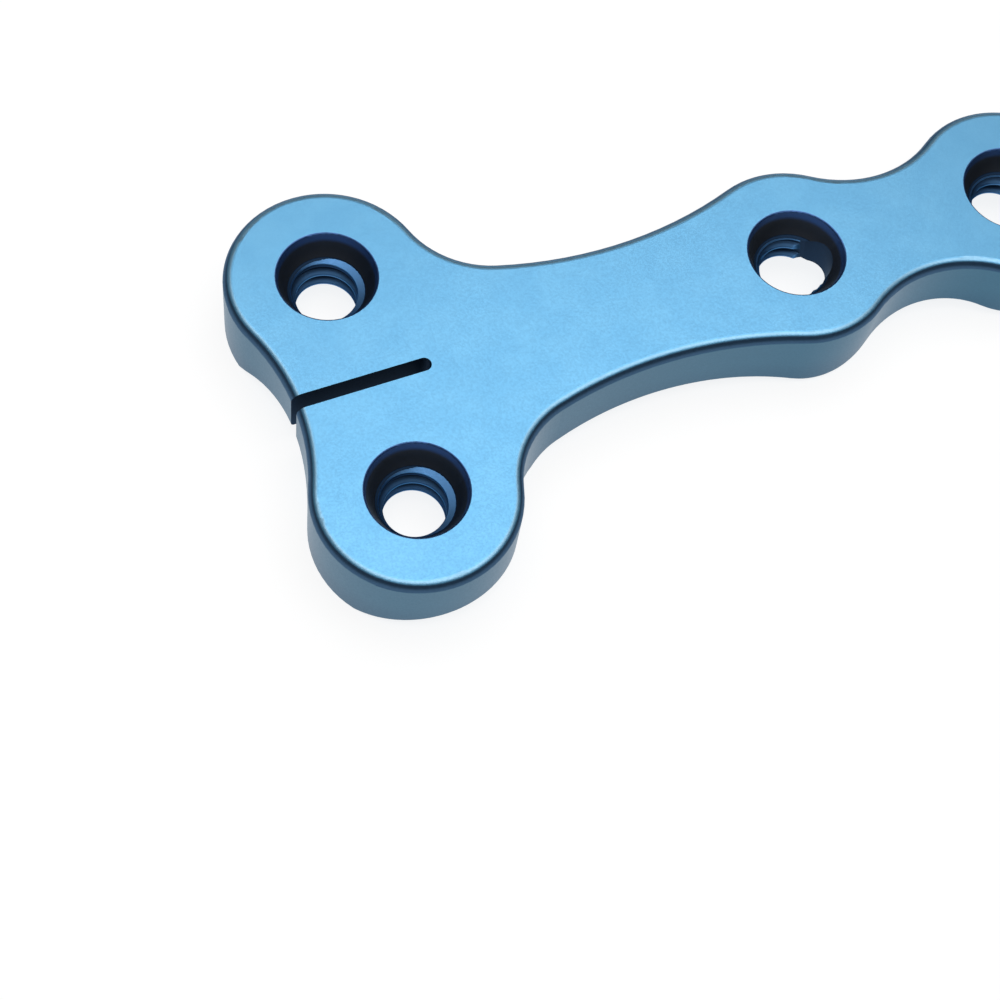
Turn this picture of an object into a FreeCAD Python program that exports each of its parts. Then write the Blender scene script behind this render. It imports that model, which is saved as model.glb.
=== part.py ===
import FreeCAD, Part
import math
import os

os.makedirs("parts", exist_ok=True)

# Small locking bone plate, made from one piece of titanium.
# Millimetres. X runs from the two-lobed head to the shaft's end, Y across, Z up out of the top face.
# The origin is the middle of the plate's length and width, at the level it lies on.

# Plan of the plate
head_hole_spacing = 15.0
head_to_first_shaft_hole = 27.7
shaft_hole_pitch = 15.2
head_lobe_radius = 6.15
shaft_lobe_radius = 6.15
crotch_radius = 14.0
shoulder_radius = 5.85
neck_radius = 26.1
neck_from_head = 16.9
waist_radius = 7.5

# Thickness and the hollows that fit the bone
overall_height = 5.25
shaft_thickness = 3.4
shaft_hollow_past_lobe = 0.05
head_thickness = 4.0
head_pad_width = 1.35
head_hollow_past_lobe = 2.25
top_edge_radius = 0.6
bottom_edge_radius = 0.2

# Screw holes
seat_ball_radius = 3.02
seat_ball_above_face = 0.34
seat_depth = 1.58
rim_edge_radius = 0.1
thread_wall_radius = 2.2
lead_in_depth = 0.08
exit_chamfer = 0.1

# Smooth end of the shaft holes, which leans towards the plate's end as it goes down
smooth_top_radius = 1.65
smooth_top_offset = 0.98
smooth_foot_radius = 1.28
smooth_foot_offset = 1.4
smooth_top_depth = 0.9

# Slot between the head lobes
slot_width = 0.88
slot_past_head_holes = 3.74

# Length that cutting bodies run past the metal
overrun = 2.0

plate_length = head_lobe_radius + head_to_first_shaft_hole + shaft_hole_pitch + shaft_lobe_radius
head_x = head_lobe_radius - plate_length / 2
shaft_hole_1_x = head_x + head_to_first_shaft_hole
shaft_hole_2_x = shaft_hole_1_x + shaft_hole_pitch
top_z = overall_height


def vector(x, y, z=0.0):
    return FreeCAD.Vector(x, y, z)


def meeting_circle_centre(first, first_distance, second, second_distance, side):
    """Point at the two given distances from two points, on the chosen side of the line between them."""
    along = second.sub(first)
    gap = along.Length
    along.normalize()
    run = (first_distance ** 2 - second_distance ** 2 + gap ** 2) / (2 * gap)
    rise = side * math.sqrt(first_distance ** 2 - run ** 2)
    return first + along * run + vector(-along.y, along.x) * rise


def upper_circles():
    """Circles of the upper half of the outline, from the shaft's end to the head lobe."""
    end_lobe = vector(shaft_hole_2_x, 0)
    first_lobe = vector(shaft_hole_1_x, 0)
    head_lobe = vector(head_x, head_hole_spacing / 2)
    waist_reach = shaft_lobe_radius + waist_radius
    waist = meeting_circle_centre(first_lobe, waist_reach, end_lobe, waist_reach, 1)
    neck_x = head_x + neck_from_head
    neck_rise = math.sqrt((shaft_lobe_radius + neck_radius) ** 2 - (shaft_hole_1_x - neck_x) ** 2)
    neck = vector(neck_x, neck_rise)
    shoulder = meeting_circle_centre(head_lobe, head_lobe_radius + shoulder_radius,
                                     neck, neck_radius - shoulder_radius, -1)
    return [(waist, waist_radius, "hollow"),
            (first_lobe, shaft_lobe_radius, "round"),
            (neck, neck_radius, "hollow"),
            (shoulder, shoulder_radius, "hollow"),
            (head_lobe, head_lobe_radius, "round")]


def outline_circles():
    """All circles that the outline follows, anticlockwise from the shaft's end."""
    upper = upper_circles()
    lower = [(vector(centre.x, -centre.y), radius, form) for centre, radius, form in reversed(upper)]
    crotch_back = math.sqrt((head_lobe_radius + crotch_radius) ** 2 - (head_hole_spacing / 2) ** 2)
    end_lobe = (vector(shaft_hole_2_x, 0), shaft_lobe_radius, "round")
    crotch = (vector(head_x - crotch_back, 0), crotch_radius, "hollow")
    return [end_lobe] + upper + [crotch] + lower


def touching_point(first, second):
    """Point where two neighbouring circles of the outline touch."""
    first_centre, first_radius, first_form = first
    second_centre, second_radius, second_form = second
    if first_form == second_form and first_radius < second_radius:
        return touching_point(second, first)
    direction = second_centre.sub(first_centre)
    direction.normalize()
    return first_centre + direction * first_radius


def arc_on(circle, start, end):
    """Arc of one circle, anticlockwise on a round stretch and clockwise on a hollow one."""
    centre, radius, form = circle
    start_angle = math.atan2(start.y - centre.y, start.x - centre.x)
    end_angle = math.atan2(end.y - centre.y, end.x - centre.x)
    turn = 1 if form == "round" else -1
    sweep = (turn * (end_angle - start_angle)) % (2 * math.pi)
    middle_angle = start_angle + turn * sweep / 2
    middle = centre + vector(math.cos(middle_angle), math.sin(middle_angle)) * radius
    return Part.Arc(start, middle, end).toShape()


def outline_face():
    circles = outline_circles()
    count = len(circles)
    points = [touching_point(circles[i - 1], circles[i]) for i in range(count)]
    arcs = [arc_on(circles[i], points[i], points[(i + 1) % count]) for i in range(count)]
    return Part.Face(Part.Wire(arcs))


def edges_at_top(shape):
    return [edge for edge in shape.Edges if edge.CenterOfMass.z > top_z - bottom_edge_radius / 10]


def stands_upright(edge):
    return isinstance(edge.Curve, Part.Line) and abs(edge.tangentAt(edge.FirstParameter).z) > 0.5


def is_side_wall(face):
    return isinstance(face.Surface, Part.Cylinder) and abs(face.Surface.Axis.z) > 0.5


def edges_around_foot(shape):
    """Lower edges of the side walls, all round the plate."""
    wall_edges = [edge for face in shape.Faces if is_side_wall(face) for edge in face.Edges]
    wall_foot = top_z - top_edge_radius - bottom_edge_radius
    return [edge for edge in wall_edges if edge.CenterOfMass.z < wall_foot and not stands_upright(edge)]


def hollow_radius(half_width, thickness):
    """Radius of a round hollow of this half width where it leaves this thickness of metal."""
    rise = overall_height - thickness
    return (half_width ** 2 + rise ** 2) / (2 * rise)


shaft_hollow_radius = hollow_radius(shaft_lobe_radius + shaft_hollow_past_lobe, shaft_thickness)
head_hollow_from_head = (head_hollow_past_lobe + head_pad_width) / 2
head_hollow_half_width = head_lobe_radius + (head_hollow_past_lobe - head_pad_width) / 2
head_hollow_radius = hollow_radius(head_hollow_half_width, head_thickness)


def shaft_hollow():
    """Hollow in the underside along the whole plate, so that only the lobes' sides touch the bone."""
    length = plate_length + 2 * overrun
    axis_z = top_z - shaft_thickness - shaft_hollow_radius
    return Part.makeCylinder(shaft_hollow_radius, length, vector(-length / 2, 0, axis_z), vector(1, 0, 0))


def head_hollow():
    """Hollow in the underside across the head."""
    length = head_hole_spacing + 2 * head_lobe_radius + 2 * overrun
    axis_x = head_x + head_hollow_from_head
    axis_z = top_z - head_thickness - head_hollow_radius
    return Part.makeCylinder(head_hollow_radius, length, vector(axis_x, -length / 2, axis_z), vector(0, 1, 0))


def plate_blank():
    """The plate before its holes: outline, rounded top edge, hollowed underside, eased lower edge."""
    blank = outline_face().extrude(vector(0, 0, overall_height))
    blank = blank.makeFillet(top_edge_radius, edges_at_top(blank))
    blank = blank.cut(shaft_hollow())
    blank = blank.cut(head_hollow())
    return blank.makeFillet(bottom_edge_radius, edges_around_foot(blank))


def head_hole_thickness():
    """Metal left under the head holes' axes, a little to the side of the head hollow's thinnest line."""
    rise = math.sqrt(head_hollow_radius ** 2 - head_hollow_from_head ** 2)
    return head_thickness + head_hollow_radius - rise


def seat_radius(depth):
    """Radius of the ball-shaped seat at one depth below the top face."""
    return math.sqrt(seat_ball_radius ** 2 - (depth + seat_ball_above_face) ** 2)


def locking_hole(x, y, thickness):
    """Body of one hole: rounded rim, ball-shaped seat, lead-in, the thread's wall and an eased exit."""
    rim_radius = seat_radius(0) + rim_edge_radius
    rim_dip = rim_edge_radius * (1 - math.sqrt(0.5))
    mouth = vector(rim_radius, 0, 0)
    rim_middle = vector(seat_radius(0) + rim_dip, 0, -rim_dip)
    seat_top = vector(seat_radius(rim_edge_radius), 0, -rim_edge_radius)
    seat_middle = vector(seat_radius(seat_depth / 2), 0, -seat_depth / 2)
    seat_foot = vector(seat_radius(seat_depth), 0, -seat_depth)
    wall_top = vector(thread_wall_radius, 0, -seat_depth - lead_in_depth)
    wall_foot = vector(thread_wall_radius, 0, -thickness + exit_chamfer)
    exit_edge = vector(thread_wall_radius + exit_chamfer + overrun, 0, -thickness - overrun)
    axis_foot = vector(0, 0, -thickness - overrun)
    axis_top = vector(0, 0, overrun)
    mouth_top = vector(rim_radius, 0, overrun)
    edges = [Part.makeLine(axis_top, mouth_top),
             Part.makeLine(mouth_top, mouth),
             Part.Arc(mouth, rim_middle, seat_top).toShape(),
             Part.Arc(seat_top, seat_middle, seat_foot).toShape(),
             Part.makeLine(seat_foot, wall_top),
             Part.makeLine(wall_top, wall_foot),
             Part.makeLine(wall_foot, exit_edge),
             Part.makeLine(exit_edge, axis_foot),
             Part.makeLine(axis_foot, axis_top)]
    hole = Part.Face(Part.Wire(edges)).revolve(vector(0, 0), vector(0, 0, 1), 360)
    hole.translate(vector(x, y, top_z))
    return hole


def leaning_circle(x, depth):
    """Section of the smooth end at one depth below the top face."""
    share = (depth - smooth_top_depth) / (shaft_thickness - smooth_top_depth)
    radius = smooth_top_radius + (smooth_foot_radius - smooth_top_radius) * share
    offset = smooth_top_offset + (smooth_foot_offset - smooth_top_offset) * share
    circle = Part.makeCircle(radius, vector(x + offset, 0, top_z - depth))
    return Part.Wire(circle)


def smooth_end(x):
    """Leaning smooth part of a shaft hole, for a screw that pulls the plate along the bone."""
    start = seat_depth / 2
    return Part.makeLoft([leaning_circle(x, start), leaning_circle(x, overall_height)], True, True)


def head_slot():
    """Thin slot from the crotch to beyond the head holes, with a round inner end."""
    end_x = head_x + slot_past_head_holes - slot_width / 2
    start_x = head_x - head_lobe_radius - overrun
    tall = overall_height + 2 * overrun
    straight = Part.makeBox(end_x - start_x, slot_width, tall, vector(start_x, -slot_width / 2, -overrun))
    round_end = Part.makeCylinder(slot_width / 2, tall, vector(end_x, 0, -overrun))
    return straight.fuse(round_end)


def bone_plate():
    plate = plate_blank()
    for side in (-1, 1):
        plate = plate.cut(locking_hole(head_x, side * head_hole_spacing / 2, head_hole_thickness()))
    for x in (shaft_hole_1_x, shaft_hole_2_x):
        plate = plate.cut(locking_hole(x, 0, shaft_thickness))
        plate = plate.cut(smooth_end(x))
    plate = plate.cut(head_slot())
    return plate.removeSplitter().Solids[0]


plate = bone_plate()
plate.exportStep("parts/bone_plate.step")
print("bone_plate is one valid solid:", plate.isValid(), "with volume in cubic mm", round(plate.Volume, 1))
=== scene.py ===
import math

import bmesh
import bpy
from mathutils import Matrix, Vector


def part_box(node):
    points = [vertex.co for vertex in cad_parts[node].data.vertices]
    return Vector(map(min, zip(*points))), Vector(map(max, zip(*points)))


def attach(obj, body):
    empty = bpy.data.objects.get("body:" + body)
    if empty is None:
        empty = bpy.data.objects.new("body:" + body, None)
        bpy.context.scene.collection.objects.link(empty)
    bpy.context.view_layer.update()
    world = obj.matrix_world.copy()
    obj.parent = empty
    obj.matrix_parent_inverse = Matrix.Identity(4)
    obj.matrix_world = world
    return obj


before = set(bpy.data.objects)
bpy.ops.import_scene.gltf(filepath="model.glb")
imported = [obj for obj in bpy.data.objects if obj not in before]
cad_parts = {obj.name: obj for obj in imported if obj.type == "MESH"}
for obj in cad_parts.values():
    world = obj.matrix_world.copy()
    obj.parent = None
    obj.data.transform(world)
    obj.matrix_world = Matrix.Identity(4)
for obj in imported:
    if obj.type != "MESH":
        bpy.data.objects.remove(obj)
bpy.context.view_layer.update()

mm = 0.001
mergeDistance = 1e-7  # metres
plateLow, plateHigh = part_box("bone_plate")
topZ = plateHigh[2]

# Where the CAD plate has its holes, in mm
plan = {
    "headLobe": 6.15,
    "headHoleSpacing": 15.0,
    "headToShaft": 27.7,
    "shaftPitch": 15.2,
}
headX = plateLow[0] + plan["headLobe"] * mm
headY = plan["headHoleSpacing"] / 2 * mm
holes = {
    "headNear": (headX, -headY),
    "headFar": (headX, headY),
    "shaftInner": (headX + plan["headToShaft"] * mm, 0.0),
    "shaftEnd": (headX + (plan["headToShaft"] + plan["shaftPitch"]) * mm, 0.0),
}
print("frame loaded, top face at", round(topZ / mm, 3), "mm")


# Camera, where the photograph was taken from
camera = {
    "fromHead": (-23.9625, -53.9055, 102.7905),  # mm, from the middle of the head holes on the top face
    "right": (0.92351, -0.37226, 0.09252),
    "up": (0.29612, 0.8452, 0.44491),
    "lens": 73.573,
    "sensor": 36.0,
    "clip": (0.005, 20.0),
}


def addCamera():
    data = bpy.data.cameras.new("camera")
    data.lens = camera["lens"]
    data.sensor_width = camera["sensor"]
    data.clip_start, data.clip_end = camera["clip"]
    view = bpy.data.objects.new("camera", data)
    bpy.context.scene.collection.objects.link(view)
    right = Vector(camera["right"]).normalized()
    back = right.cross(Vector(camera["up"])).normalized()
    up = back.cross(right)
    place = Vector((headX, 0, topZ)) + Vector(camera["fromHead"]) * mm
    view.matrix_world = Matrix.Translation(place) @ Matrix((right, up, back)).transposed().to_4x4()
    bpy.context.scene.camera = view


addCamera()
print("camera placed")


# Shader nodes that the materials share
def newMaterial(name):
    material = bpy.data.materials.new(name)
    material.use_nodes = True
    nodes = material.node_tree.nodes
    return material, nodes, material.node_tree.links


def splitAxes(nodes, links, vector):
    node = nodes.new("ShaderNodeSeparateXYZ")
    links.new(vector, node.inputs[0])
    return node.outputs


def addMath(nodes, links, operation, first, second=None, third=None):
    node = nodes.new("ShaderNodeMath")
    node.operation = operation
    for socket, value in zip(node.inputs, (first, second, third)):
        if isinstance(value, bpy.types.NodeSocket):
            links.new(value, socket)
        elif value is not None:
            socket.default_value = value
    return node.outputs[0]


def addRange(nodes, links, value, begin, end, atBegin, atEnd):
    node = nodes.new("ShaderNodeMapRange")
    node.interpolation_type = "SMOOTHSTEP"
    links.new(value, node.inputs["Value"])
    node.inputs["From Min"].default_value = begin
    node.inputs["From Max"].default_value = end
    node.inputs["To Min"].default_value = atBegin
    node.inputs["To Max"].default_value = atEnd
    return node.outputs[0]


# Rises to 1 over the first two limits and falls again over the last two
def addBand(nodes, links, value, limits):
    begin, full, last, gone = limits
    rising = addRange(nodes, links, value, begin, full, 0, 1)
    falling = addRange(nodes, links, value, last, gone, 1, 0)
    return addMath(nodes, links, "MULTIPLY", rising, falling)


def mixColors(nodes, links, share, first, second):
    node = nodes.new("ShaderNodeMix")
    node.data_type = "RGBA"
    links.new(share, node.inputs["Factor"])
    for socket, value in ((node.inputs["A"], first), (node.inputs["B"], second)):
        if isinstance(value, bpy.types.NodeSocket):
            links.new(value, socket)
        else:
            socket.default_value = value
    return node.outputs["Result"]


def mixTowards(nodes, links, share, value, number):
    node = nodes.new("ShaderNodeMix")
    links.new(share, node.inputs["Factor"])
    links.new(value, node.inputs["A"])
    node.inputs["B"].default_value = number
    return node.outputs["Result"]


def addNoise(nodes, links, coords, size, detail):
    node = nodes.new("ShaderNodeTexNoise")
    node.inputs["Scale"].default_value = 1 / (size * mm)
    node.inputs["Detail"].default_value = detail
    links.new(coords.outputs["Object"], node.inputs["Vector"])
    return node.outputs["Fac"]


# Pale table and one big soft lamp overhead
studio = {
    "floorSize": 4.0,
    "floorColor": (0.2, 0.2, 0.2, 1.0),
    "floorGlow": 0.85,
    "world": 0.2,
    "worldColor": (1.0, 1.0, 1.0, 1.0),
    "softboxSize": 0.5,
    "softboxPlace": (0.05, 0.05, 0.42),
    "softboxRadiance": 2.2,
}


def tableMaterial():
    material, nodes, links = newMaterial("paleTable")
    nodes.clear()
    diffuse = nodes.new("ShaderNodeBsdfDiffuse")
    diffuse.inputs["Color"].default_value = studio["floorColor"]
    path = nodes.new("ShaderNodeLightPath")
    seen = addMath(nodes, links, "MAXIMUM", path.outputs["Is Camera Ray"], path.outputs["Is Glossy Ray"])
    seen = addMath(nodes, links, "MAXIMUM", seen, path.outputs["Is Transmission Ray"])
    glow = nodes.new("ShaderNodeEmission")
    links.new(addMath(nodes, links, "MULTIPLY", seen, studio["floorGlow"]), glow.inputs["Strength"])
    both = nodes.new("ShaderNodeAddShader")
    links.new(diffuse.outputs[0], both.inputs[0])
    links.new(glow.outputs[0], both.inputs[1])
    output = nodes.new("ShaderNodeOutputMaterial")
    links.new(both.outputs[0], output.inputs["Surface"])
    return material


def addFloor():
    mesh = bpy.data.meshes.new("floor")
    bm = bmesh.new()
    bmesh.ops.create_grid(bm, x_segments=1, y_segments=1, size=studio["floorSize"] / 2)
    bm.to_mesh(mesh)
    bm.free()
    mesh.materials.append(tableMaterial())
    floor = bpy.data.objects.new("floor", mesh)
    bpy.context.scene.collection.objects.link(floor)


def addLight():
    world = bpy.data.worlds.new("studio")
    world.use_nodes = True
    background = world.node_tree.nodes["Background"]
    background.inputs["Strength"].default_value = studio["world"]
    background.inputs["Color"].default_value = studio["worldColor"]
    bpy.context.scene.world = world
    data = bpy.data.lights.new("softbox", "AREA")
    data.size = studio["softboxSize"]
    data.energy = studio["softboxRadiance"] * math.pi * studio["softboxSize"] ** 2
    lamp = bpy.data.objects.new("softbox", data)
    lamp.location = studio["softboxPlace"]
    bpy.context.scene.collection.objects.link(lamp)


addFloor()
addLight()
bpy.context.scene.view_settings.view_transform = "Standard"
print("table and lamp placed")

# Blue anodised titanium, blasted; a tilt is the upward part of the surface's normal
finish = {
    "color": (0.108, 0.335, 0.55, 1.0),
    "paler": (0.12, 0.355, 0.57, 1.0),       # cloudy patches
    "side": (0.036, 0.14, 0.225, 1.0),       # painted shade, darker and greyer on the side walls
    "foot": (0.025, 0.105, 0.185, 1.0),      # painted shade, darker still on the side walls' lowest part
    "footShadeHeight": 3.0,                       # mm, height over which the painted shade at the foot fades out
    "sideTilt": (0.3, 0.6),
    "rim": (0.2, 0.4, 0.56, 1.0),            # painted highlight, a lighter line where the face begins to round over
    "rimTilt": (0.88, 0.93, 0.975, 0.998),
    "edge": (0.045, 0.1, 0.18, 1.0),         # painted dark reflection on the steep part of the rounded edge
    "darkReflectionTilt": (0.04, 0.2, 0.78, 0.9),
    "grazing": (0.66, 0.76, 0.86, 1.0),      # tint of what the metal mirrors at a low angle
    "roughness": 0.4,
    "roughnessSpread": 0.04,
    "grain": 0.13,                           # mm, size of the marks that the blasting leaves
    "grainDetail": 2.0,
    "grainLimits": (0.3, 0.7),
    "grainDepth": 0.0028,                    # mm
    "patch": 2.2,                            # mm
    "patchDetail": 3.0,
    "patchLimits": (0.35, 0.7),
    "coat": 0.55,
    "smoothCoat": 0.05,                      # in the holes and the slot, and on the rounded edge
    "coatRoughness": 0.35,
    "coatIor": 1.5,
    "soft": 0.02,                            # mm over which one finish turns into the next
}

# Ball-shaped seats of the screws, with painted light: a navy painted reflection under the rim, then painted
# shade, nearly black, deeper down
seat = {
    # painted shade, nearly black, deeper in the seat
    "color": (0.075, 0.085, 0.1, 1.0),
    # painted reflection, a navy band under the rim
    "upper": (0.066, 0.145, 0.35, 1.0),
    "upperDepth": 0.54,                      # mm below the top face
    "upperSoft": 0.16,                       # mm
    "roughness": 0.45,
    "radius": 3.08,                          # mm from a hole's axis
    "depth": 1.62,                           # mm below the top face
}

# Painted shade, dark, on the walls of the smooth ends, of the slot and of the holes below their seats
shadedRecessWall = {
    "color": (0.016, 0.04, 0.085, 1.0),
    "roughness": 0.6,
    "tilt": (-0.6, -0.4, 0.3, 0.4),
    "endRadius": 2.75,                       # mm from a hole's axis
    "endTop": 0.9,                           # mm below the top face
    "holeRadius": 2.34,                      # mm from a hole's axis
    "slotSide": 0.46,                        # mm from the middle of the slot
    "slotEnd": 3.85,                         # mm from the line between the head holes
}

# Cut metal of the threads and ledges
cut = {
    "color": (0.085, 0.215, 0.43, 1.0),
    "grooveShade": (0.022, 0.05, 0.1, 1.0),       # painted shade between the turns
    "grooveShadeBegin": 1.9,                      # mm from a hole's axis
    "grooveShadeFull": 2.14,                      # mm
    "grooveShadeTop": 1.86,                       # mm below the top face
    "grazing": (0.3, 0.45, 0.6, 1.0),
    "roughness": 0.4,
    "roughnessSpread": 0.06,
    "turnMark": 0.08,                        # mm between the tool's marks
    "turnMarkDetail": 1.0,
    "turnMarkLimits": (0.3, 0.7),
}
soft = finish["soft"] * mm


# 1 up to the limit and 0 just past it
def addInside(nodes, links, value, limit):
    return addRange(nodes, links, value, limit, limit + soft, 1, 0)


# Distance to the nearest hole's axis
def holeDistance(nodes, links, x, y):
    nearest = None
    for holeX, holeY in holes.values():
        away = addMath(nodes, links, "SUBTRACT", x, holeX)
        aside = addMath(nodes, links, "SUBTRACT", y, holeY)
        asideSquare = addMath(nodes, links, "MULTIPLY", aside, aside)
        square = addMath(nodes, links, "MULTIPLY_ADD", away, away, asideSquare)
        distance = addMath(nodes, links, "SQRT", square)
        nearest = distance if nearest is None else addMath(nodes, links, "MINIMUM", nearest, distance)
    return nearest


def seatMask(nodes, links, distance, z):
    foot = topZ - seat["depth"] * mm
    inRim = addInside(nodes, links, distance, seat["radius"] * mm)
    shallow = addRange(nodes, links, z, foot - soft, foot, 0, 1)
    return addMath(nodes, links, "MULTIPLY", inRim, shallow)


# Where the painted shade of the recess walls goes
def shadedRecessWallMask(nodes, links, distance, x, y, z, upward):
    endTop = topZ - shadedRecessWall["endTop"] * mm
    inEnd = addInside(nodes, links, distance, shadedRecessWall["endRadius"] * mm)
    inEnd = addMath(nodes, links, "MULTIPLY", inEnd, addRange(nodes, links, z, endTop - soft, endTop, 1, 0))
    beside = addMath(nodes, links, "ABSOLUTE", y)
    inSlot = addInside(nodes, links, beside, shadedRecessWall["slotSide"] * mm)
    beforeEnd = addInside(nodes, links, x, headX + shadedRecessWall["slotEnd"] * mm)
    inSlot = addMath(nodes, links, "MULTIPLY", inSlot, beforeEnd)
    steep = addBand(nodes, links, upward, shadedRecessWall["tilt"])
    wall = addMath(nodes, links, "MULTIPLY", addMath(nodes, links, "MAXIMUM", inEnd, inSlot), steep)
    inHole = addInside(nodes, links, distance, shadedRecessWall["holeRadius"] * mm)
    underside, notUnderside = shadedRecessWall["tilt"][:2]
    offUnderside = addRange(nodes, links, upward, underside, notUnderside, 0, 1)
    return addMath(nodes, links, "MAXIMUM", wall, addMath(nodes, links, "MULTIPLY", inHole, offUnderside))


# Colour of the blasted metal outside the holes, with a painted highlight at the rim, painted shade on the
# side walls and their foot, and a painted dark reflection on the rounded edge
def blastedColorAndPaintedLight(nodes, links, coords, z, upward, atEdgeDarkReflection):
    patch = addNoise(nodes, links, coords, finish["patch"], finish["patchDetail"])
    cloudy = addRange(nodes, links, patch, *finish["patchLimits"], 0, 1)
    face = mixColors(nodes, links, cloudy, finish["color"], finish["paler"])
    # painted highlight where the face begins to round over
    face = mixColors(nodes, links, addBand(nodes, links, upward, finish["rimTilt"]), face, finish["rim"])
    # painted shade, darker towards the foot of the side walls
    aboveFootShade = addRange(nodes, links, z, 0, finish["footShadeHeight"] * mm, 0, 1)
    side = mixColors(nodes, links, aboveFootShade, finish["foot"], finish["side"])
    # the side walls take the painted shade
    tilt = addMath(nodes, links, "ABSOLUTE", upward)
    steep = addRange(nodes, links, tilt, *finish["sideTilt"], 1, 0)
    face = mixColors(nodes, links, steep, face, side)
    # painted dark reflection on the rounded edge
    return mixColors(nodes, links, atEdgeDarkReflection, face, finish["edge"])


# painted reflection under the rim, painted shade deeper in the seat
def seatReflectionAndShade(nodes, links, z):
    level = topZ - seat["upperDepth"] * mm
    reach = seat["upperSoft"] * mm
    inReflectionBand = addRange(nodes, links, z, level - reach, level + reach, 0, 1)
    return mixColors(nodes, links, inReflectionBand, seat["color"], seat["upper"])


def plateMaterial():
    material, nodes, links = newMaterial("blastedTitanium")
    shader = nodes["Principled BSDF"]
    coords = nodes.new("ShaderNodeTexCoord")
    x, y, z = splitAxes(nodes, links, coords.outputs["Object"])
    upward = splitAxes(nodes, links, coords.outputs["Normal"])["Z"]

    # where each finish is, and where shade and reflection are painted
    distance = holeDistance(nodes, links, x, y)
    inSeat = seatMask(nodes, links, distance, z)
    onShadedRecessWall = shadedRecessWallMask(nodes, links, distance, x, y, z, upward)
    smooth = addMath(nodes, links, "MAXIMUM", inSeat, onShadedRecessWall)
    # band of the rounded edge that takes the painted dark reflection and less coat
    atEdgeDarkReflection = addBand(nodes, links, upward, finish["darkReflectionTilt"])

    # colour, with the painted shade, highlight and reflection
    color = blastedColorAndPaintedLight(nodes, links, coords, z, upward, atEdgeDarkReflection)
    color = mixColors(nodes, links, inSeat, color, seatReflectionAndShade(nodes, links, z))
    # painted shade on the recess walls
    links.new(mixColors(nodes, links, onShadedRecessWall, color, shadedRecessWall["color"]), shader.inputs["Base Color"])
    shader.inputs["Metallic"].default_value = 1.0
    shader.inputs["Specular Tint"].default_value = finish["grazing"]

    # gloss
    grain = addNoise(nodes, links, coords, finish["grain"], finish["grainDetail"])
    rough = addRange(nodes, links, grain, *finish["grainLimits"],
                     finish["roughness"] - finish["roughnessSpread"],
                     finish["roughness"] + finish["roughnessSpread"])
    rough = mixTowards(nodes, links, inSeat, rough, seat["roughness"])
    links.new(mixTowards(nodes, links, onShadedRecessWall, rough, shadedRecessWall["roughness"]), shader.inputs["Roughness"])
    bare = addMath(nodes, links, "MAXIMUM", smooth, atEdgeDarkReflection)
    coat = addRange(nodes, links, bare, 0, 1, finish["coat"], finish["smoothCoat"])
    links.new(coat, shader.inputs["Coat Weight"])
    shader.inputs["Coat Roughness"].default_value = finish["coatRoughness"]
    shader.inputs["Coat IOR"].default_value = finish["coatIor"]

    # grain, on the blasted metal only
    bump = nodes.new("ShaderNodeBump")
    bump.inputs["Distance"].default_value = finish["grainDepth"] * mm
    links.new(addRange(nodes, links, smooth, 0, 1, 1, 0), bump.inputs["Strength"])
    links.new(grain, bump.inputs["Height"])
    links.new(bump.outputs["Normal"], shader.inputs["Normal"])
    return material


def threadMaterial():
    material, nodes, links = newMaterial("cutTitanium")
    shader = nodes["Principled BSDF"]
    coords = nodes.new("ShaderNodeTexCoord")
    x, y, z = splitAxes(nodes, links, coords.outputs["Object"])
    distance = holeDistance(nodes, links, x, y)
    # painted shade in the grooves, darker towards the root
    inGrooveShade = addRange(nodes, links, distance, cut["grooveShadeBegin"] * mm, cut["grooveShadeFull"] * mm, 0, 1)
    grooveShadeTop = topZ - cut["grooveShadeTop"] * mm
    belowLedge = addRange(nodes, links, z, grooveShadeTop - soft, grooveShadeTop, 1, 0)
    inGrooveShade = addMath(nodes, links, "MULTIPLY", inGrooveShade, belowLedge)
    color = mixColors(nodes, links, inGrooveShade, cut["color"], cut["grooveShade"])
    links.new(color, shader.inputs["Base Color"])
    shader.inputs["Specular Tint"].default_value = cut["grazing"]
    shader.inputs["Metallic"].default_value = 1.0
    marks = addNoise(nodes, links, coords, cut["turnMark"], cut["turnMarkDetail"])
    rough = addRange(nodes, links, marks, *cut["turnMarkLimits"],
                     cut["roughness"] - cut["roughnessSpread"],
                     cut["roughness"] + cut["roughnessSpread"])
    links.new(rough, shader.inputs["Roughness"])
    return material


anodised = plateMaterial()
threaded = threadMaterial()
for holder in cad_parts["bone_plate"].material_slots:
    holder.material = anodised
print("plate finished")


def pieceFrom(bm, name, material=None):
    mesh = bpy.data.meshes.new(name)
    bm.to_mesh(mesh)
    bm.free()
    if material:
        mesh.materials.append(material)
    piece = bpy.data.objects.new(name, mesh)
    bpy.context.scene.collection.objects.link(piece)
    return piece


# Turns of thread in the screw holes, all in mm; depths are below the top face
thread = {
    "pitch": 0.93,
    "wall": 2.2,
    "crest": 1.855,
    "sunk": 0.06,            # how far the turns reach into the metal
    "crestWidth": 0.1,
    "crestRound": 0.06,
    "flank": 0.56,           # axial run of a flank for each mm of its height
    "steps": 96,             # round one turn
    "spareTurns": 1,         # past the top and past the foot, cut off again
    "top": 1.6,              # depth at which the turns begin
    "leadIn": 2.33,          # radius of the lead-in cone at that depth
    "leadInSlope": 50.0,     # degrees
    "leadInSteps": 192,
    "headFoot": 3.98,
    "shaftFoot": 3.39,
    "start": {"headNear": 180.0, "headFar": 186.0, "shaftInner": 335.0, "shaftEnd": 322.0},  # degrees
    "sharpAngle": 40.0,      # degrees, past which an edge stays sharp
}


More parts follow.
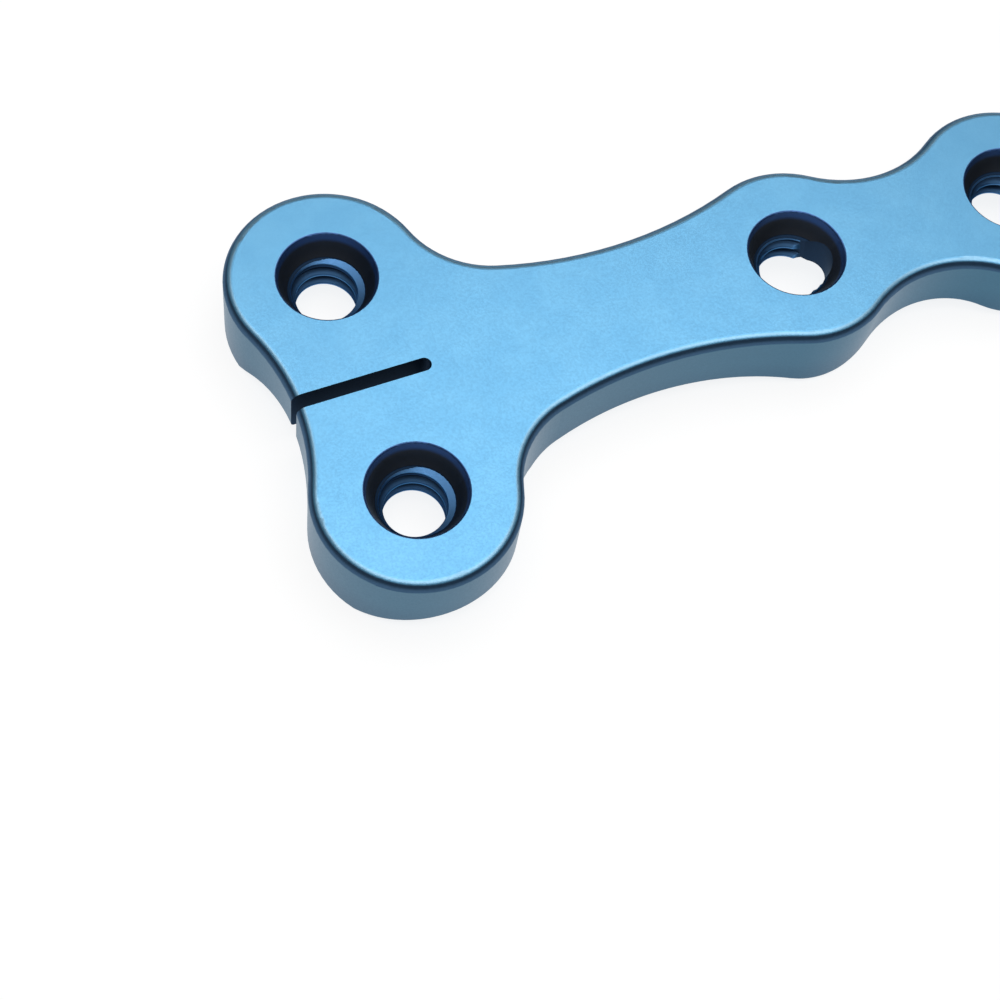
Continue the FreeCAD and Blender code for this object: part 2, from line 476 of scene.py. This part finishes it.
def threadProfile(bm):
    half = thread["crestWidth"] / 2
    root = thread["wall"] + thread["sunk"]
    shoulder = thread["crest"] + thread["crestRound"]
    run = half + thread["crestRound"] + (root - shoulder) * thread["flank"]
    shape = [(root, -run), (shoulder, -half - thread["crestRound"]), (thread["crest"], -half),
             (thread["crest"], half), (shoulder, half + thread["crestRound"]), (root, run)]
    corners = [bm.verts.new((r * mm, 0, z * mm)) for r, z in shape]
    return corners + [bm.edges.new((corners[i - 1], corners[i])) for i in range(len(corners))]


# Takes off what is above the level, or below it where up is -1, and closes the cut
def cutLevel(bm, z, up):
    geom = bm.verts[:] + bm.edges[:] + bm.faces[:]
    section = bmesh.ops.bisect_plane(bm, geom=geom, dist=mergeDistance, plane_co=(0, 0, z),
                                     plane_no=(0, 0, up), clear_outer=True)
    edges = [item for item in section["geom_cut"] if isinstance(item, bmesh.types.BMEdge)]
    bmesh.ops.holes_fill(bm, edges=edges, sides=0)


def threadMesh(footDepth):
    bm = bmesh.new()
    profile = threadProfile(bm)
    deep = footDepth - thread["top"]
    turns = math.ceil(deep / thread["pitch"]) + 2 * thread["spareTurns"]
    rise = Vector((0, 0, thread["pitch"] * mm / thread["steps"]))
    bmesh.ops.spin(bm, geom=profile, cent=(0, 0, 0), axis=(0, 0, 1), dvec=rise,
                   angle=turns * 2 * math.pi, steps=turns * thread["steps"], use_merge=False)
    bmesh.ops.remove_doubles(bm, verts=bm.verts[:], dist=mergeDistance)
    bmesh.ops.holes_fill(bm, edges=bm.edges[:], sides=0)
    drop = (turns - thread["spareTurns"]) * thread["pitch"] * mm
    bmesh.ops.translate(bm, verts=bm.verts[:], vec=(0, 0, -drop))
    cutLevel(bm, 0, 1)
    cutLevel(bm, -deep * mm, -1)
    bmesh.ops.recalc_face_normals(bm, faces=bm.faces[:])
    return bm


def addTurns(name, x, y, footDepth, start):
    bm = threadMesh(footDepth)
    turned = Matrix.Rotation(math.radians(start), 3, "Z")
    bmesh.ops.rotate(bm, verts=bm.verts[:], cent=(0, 0, 0), matrix=turned)
    bmesh.ops.translate(bm, verts=bm.verts[:], vec=(x, y, topZ - thread["top"] * mm))
    return pieceFrom(bm, name, threaded)


# The cone is twice as big as the lead-in, whose circle is at its half height
def leadInCutter(x, y):
    bm = bmesh.new()
    fall = thread["leadIn"] * math.tan(math.radians(thread["leadInSlope"]))
    bmesh.ops.create_cone(bm, cap_ends=True, segments=thread["leadInSteps"], radius1=0,
                          radius2=2 * thread["leadIn"] * mm, depth=2 * fall * mm)
    bmesh.ops.translate(bm, verts=bm.verts[:], vec=(x, y, topZ - thread["top"] * mm))
    return pieceFrom(bm, "leadInCutter")


# Ledge at the seat's foot, in mm; its inner circle is set aside along the plate
ledge = {
    "outer": 2.34,
    "headInner": 2.08,
    "shaftInner": 2.14,
    "headAside": -0.19,      # broader towards the shaft's end
    "shaftAside": 0.06,
    "depth": 1.58,
    "fall": 0.17,
    "thick": 0.26,
    "steps": 192,
}


def ledgeRing(x, y, inner, aside):
    bm = bmesh.new()
    outer = ledge["outer"]
    shape = [(outer, 0), (inner, ledge["fall"]), (inner, ledge["thick"]), (outer, ledge["thick"])]
    corners = [bm.verts.new((r * mm, 0, -deeper * mm)) for r, deeper in shape]
    edges = [bm.edges.new((corners[i - 1], corners[i])) for i in range(len(corners))]
    bmesh.ops.spin(bm, geom=corners + edges, cent=(0, 0, 0), axis=(0, 0, 1), angle=2 * math.pi,
                   steps=ledge["steps"], use_merge=True)
    middle = (outer + inner) / 2 * mm
    inside = [vert for vert in bm.verts if vert.co.xy.length < middle]
    bmesh.ops.translate(bm, verts=inside, vec=(aside * mm, 0, 0))
    bmesh.ops.translate(bm, verts=bm.verts[:], vec=(x, y, topZ - ledge["depth"] * mm))
    bmesh.ops.recalc_face_normals(bm, faces=bm.faces[:])
    return pieceFrom(bm, "ledgeRing")


# Smooth end of the shaft holes, in mm
smoothEnd = {
    "topRadius": 1.65, "topOffset": 0.98, "topDepth": 0.9,
    "footRadius": 1.28, "footOffset": 1.4, "footDepth": 3.4,
    "clear": 0.15,           # how far short of it the turns stop
    "reach": (-0.6, 1.6),    # shares of the way from top to foot, past both
    "steps": 96,
}


def smoothEndCutter(x):
    bm = bmesh.new()
    for share in smoothEnd["reach"]:
        radius = smoothEnd["topRadius"] + (smoothEnd["footRadius"] - smoothEnd["topRadius"]) * share
        radius += smoothEnd["clear"]
        offset = smoothEnd["topOffset"] + (smoothEnd["footOffset"] - smoothEnd["topOffset"]) * share
        depth = smoothEnd["topDepth"] + (smoothEnd["footDepth"] - smoothEnd["topDepth"]) * share
        circle = bmesh.ops.create_circle(bm, cap_ends=False, radius=radius * mm,
                                         segments=smoothEnd["steps"])
        bmesh.ops.translate(bm, verts=circle["verts"], vec=(x + offset * mm, 0, topZ - depth * mm))
    bmesh.ops.bridge_loops(bm, edges=bm.edges[:])
    bmesh.ops.holes_fill(bm, edges=bm.edges[:], sides=0)
    bmesh.ops.recalc_face_normals(bm, faces=bm.faces[:])
    return pieceFrom(bm, "smoothEndCutter")


def combine(piece, other, operation):
    step = piece.modifiers.new("combine", "BOOLEAN")
    step.operation = operation
    step.solver = "EXACT"
    step.object = other
    shown = piece.evaluated_get(bpy.context.evaluated_depsgraph_get())
    mesh = bpy.data.meshes.new_from_object(shown)
    piece.modifiers.clear()
    piece.data = mesh
    bpy.data.objects.remove(other)


def sharpen(piece):
    bm = bmesh.new()
    bm.from_mesh(piece.data)
    bmesh.ops.remove_doubles(bm, verts=bm.verts[:], dist=mergeDistance)
    sharpAngle = math.radians(thread["sharpAngle"])
    for face in bm.faces:
        face.smooth = True
    for edge in bm.edges:
        edge.smooth = len(edge.link_faces) == 2 and edge.calc_face_angle() < sharpAngle
    print(piece.name, "has", sum(len(edge.link_faces) != 2 for edge in bm.edges), "open edges and",
          len(bm.faces), "faces, volume", round(bm.calc_volume(signed=True) / mm ** 3, 2), "cubic mm")
    bm.to_mesh(piece.data)
    bm.free()


def headThread(name, hole):
    x, y = holes[hole]
    piece = addTurns(name, x, y, thread["headFoot"], thread["start"][hole])
    combine(piece, leadInCutter(x, y), "DIFFERENCE")
    combine(piece, ledgeRing(x, y, ledge["headInner"], ledge["headAside"]), "UNION")
    return piece


def shaftThread(name, hole):
    x, y = holes[hole]
    piece = addTurns(name, x, y, thread["shaftFoot"], thread["start"][hole])
    combine(piece, leadInCutter(x, y), "DIFFERENCE")
    combine(piece, ledgeRing(x, y, ledge["shaftInner"], ledge["shaftAside"]), "UNION")
    combine(piece, smoothEndCutter(x), "DIFFERENCE")
    return piece


threads = [
    headThread("headThreadNear", "headNear"),
    headThread("headThreadFar", "headFar"),
    shaftThread("shaftThreadInner", "shaftInner"),
    shaftThread("shaftThreadEnd", "shaftEnd"),
]
for piece in threads:
    sharpen(piece)
    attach(piece, "root")
print("threads cut")
